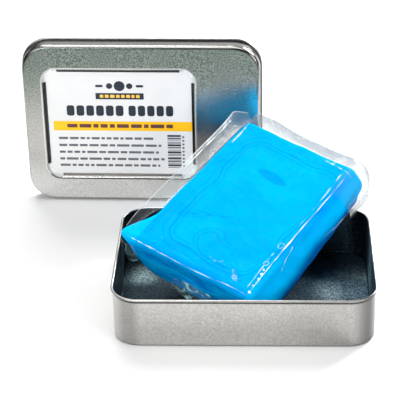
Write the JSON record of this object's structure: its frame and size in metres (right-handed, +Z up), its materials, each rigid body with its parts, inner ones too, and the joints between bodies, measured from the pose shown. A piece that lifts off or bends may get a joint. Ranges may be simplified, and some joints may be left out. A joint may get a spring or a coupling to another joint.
{
  "type": "clay bar",
  "caption": "Film-wrapped bar of detailing clay propped in the base of an opened slip-lid window tin, with the lid standing behind it.",
  "frame": {"origin": "centre of the underside of the tin's base", "axes": "+X along the tin, +Y towards the back where the lid stands, +Z up"},
  "size_m": [0.16, 0.1357, 0.0815],
  "materials": {
    "tinplate": "satin",
    "tinplate_lid": "satin",
    "pane": "gloss",
    "label": "satin",
    "clay": "matte",
    "film": "gloss"
  },
  "bodies": {
    "base": {"tin_base": "tinplate"},
    "lid": {"tin_lid": "tinplate_lid", "window_pane": "pane", "label": "label"},
    "wrapped_bar": {"clay_bar": "clay", "film_wrap": "film"}
  },
  "joints": [
    {"name": "lid_lift", "type": "slide", "parent": "base", "child": "lid", "axis": [0, 0, 1], "range_m": [0, 0.1]},
    {"name": "bar_lift", "type": "slide", "parent": "base", "child": "wrapped_bar", "axis": [0, 0, 1], "range_m": [0, 0.08]}
  ]
}
